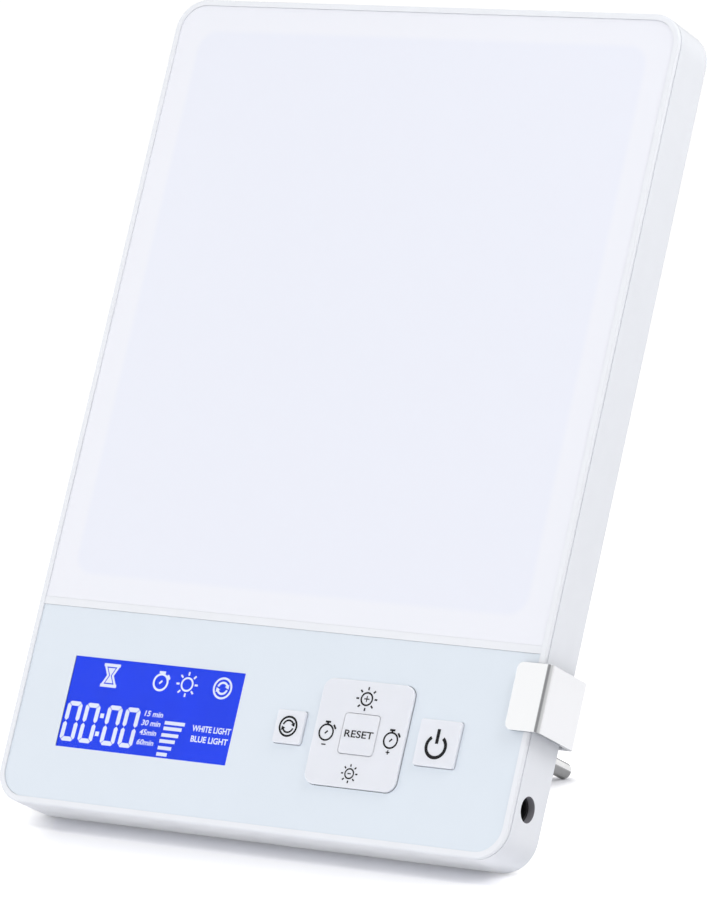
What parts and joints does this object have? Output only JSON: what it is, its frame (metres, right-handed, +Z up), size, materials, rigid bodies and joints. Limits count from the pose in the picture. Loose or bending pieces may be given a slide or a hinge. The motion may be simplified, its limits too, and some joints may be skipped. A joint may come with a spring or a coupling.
{
  "type": "light therapy lamp",
  "caption": "Slim edge-lit light therapy panel with a control strip, display and press keys, leaning back on a slide-on side bracket and a push-in round leg.",
  "frame": {"origin": "middle of the lamp's footprint, on the desk", "axes": "+Z up, -Y towards the user, +X to the user's right; the panel leans back about X"},
  "size_m": [0.1714, 0.1462, 0.2268],
  "materials": {
    "white_housing": "fine satin moulded finish",
    "bead_white": "fine satin moulded finish",
    "opal": "smooth opal, softly glowing",
    "clear_acrylic": "clear, polished edges",
    "white_sheet": "matte white",
    "tray": "mill finish",
    "white_laminate": "white solder mask",
    "led_package": "phosphor yellow",
    "lead": "soft sleeve",
    "film": "satin printed overlay",
    "clear_window": "clear gloss",
    "display_cell": "blue negative display",
    "backlight": "lit blue",
    "holder": "black moulding",
    "contact": "bright",
    "laminate": "green solder mask",
    "screw_steel": "zinc plated",
    "switch_case": "black moulding",
    "spring_steel": "stamped",
    "chip": "matte black",
    "ferrite": "moulded powder",
    "capacitor": "bright can",
    "connector": "natural nylon",
    "jack": "black moulding",
    "jack_contact": "nickel plated",
    "key": "satin, printed symbol",
    "plunger": "black moulding",
    "bracket": "polished steel",
    "cushion": "matte rubber",
    "socket": "turned, bead blasted",
    "leg_steel": "polished",
    "ring": "matte rubber"
  },
  "bodies": {
    "panel": {"front_frame": "bead_white", "rear_shell": "white_housing", "housing_screws": "screw_steel", "diffuser": "opal", "light_guide": "clear_acrylic", "reflector_sheet": "white_sheet", "light_tray": "tray", "led_boards": "white_laminate", "led_packages": "led_package", "led_leads": "lead", "control_film": "film", "display_window": "clear_window", "display_glass": "display_cell", "display_backlight": "backlight", "display_holder": "holder", "display_pins": "contact", "control_board": "laminate", "board_screws": "screw_steel", "switch_bodies": "switch_case", "switch_covers": "spring_steel", "switch_domes": "spring_steel", "controller_chips": "chip", "inductor": "ferrite", "capacitors": "capacitor", "buzzer": "chip", "board_connectors": "connector", "dc_jack": "jack", "jack_pin": "jack_contact", "jack_leads": "lead"},
    "mode_key": {"mode_key": "key", "mode_actuator": "plunger"},
    "power_key": {"power_key": "key", "power_actuator": "plunger"},
    "reset_key": {"reset_key": "key", "reset_actuator": "plunger"},
    "nav_ring": {"nav_ring": "key"},
    "nav_plate": {"nav_plate": "key", "nav_actuators": "plunger"},
    "bracket": {"stand_bracket": "bracket", "lip_pad": "cushion", "back_pad": "cushion", "leg_socket": "socket", "socket_screws": "screw_steel"},
    "leg": {"stand_leg": "leg_steel", "leg_ring": "ring"}
  },
  "joints": [
    {"name": "mode_press", "type": "slide", "parent": "panel", "child": "mode_key", "axis": [0, 0.919, -0.3943], "range_m": [0, 0.00035], "stiffness_N_per_m": 1500},
    {"name": "power_press", "type": "slide", "parent": "panel", "child": "power_key", "axis": [0, 0.919, -0.3943], "range_m": [0, 0.00035], "stiffness_N_per_m": 1500},
    {"name": "reset_press", "type": "slide", "parent": "panel", "child": "reset_key", "axis": [0, 0.919, -0.3943], "range_m": [0, 0.00035], "stiffness_N_per_m": 1500},
    {"name": "nav_tilt_up_down", "type": "hinge", "parent": "panel", "child": "nav_ring", "pos_m": [0.02995, -0.05987, 0.03324], "axis": [1, 0, 0], "range_deg": [-1.5, 1.5], "stiffness_Nm_per_rad": 0.6},
    {"name": "nav_tilt_side", "type": "hinge", "parent": "nav_ring", "child": "nav_plate", "pos_m": [0.02995, -0.05987, 0.03324], "axis": [0, 0.3943, 0.919], "range_deg": [-1.5, 1.5], "stiffness_Nm_per_rad": 0.6},
    {"name": "bracket_slide", "type": "slide", "parent": "panel", "child": "bracket", "axis": [1, 0, 0], "range_m": [0, 0.09]},
    {"name": "leg_pull", "type": "slide", "parent": "bracket", "child": "leg", "axis": [0, 0.919, -0.3943], "range_m": [0, 0.013]}
  ]
}
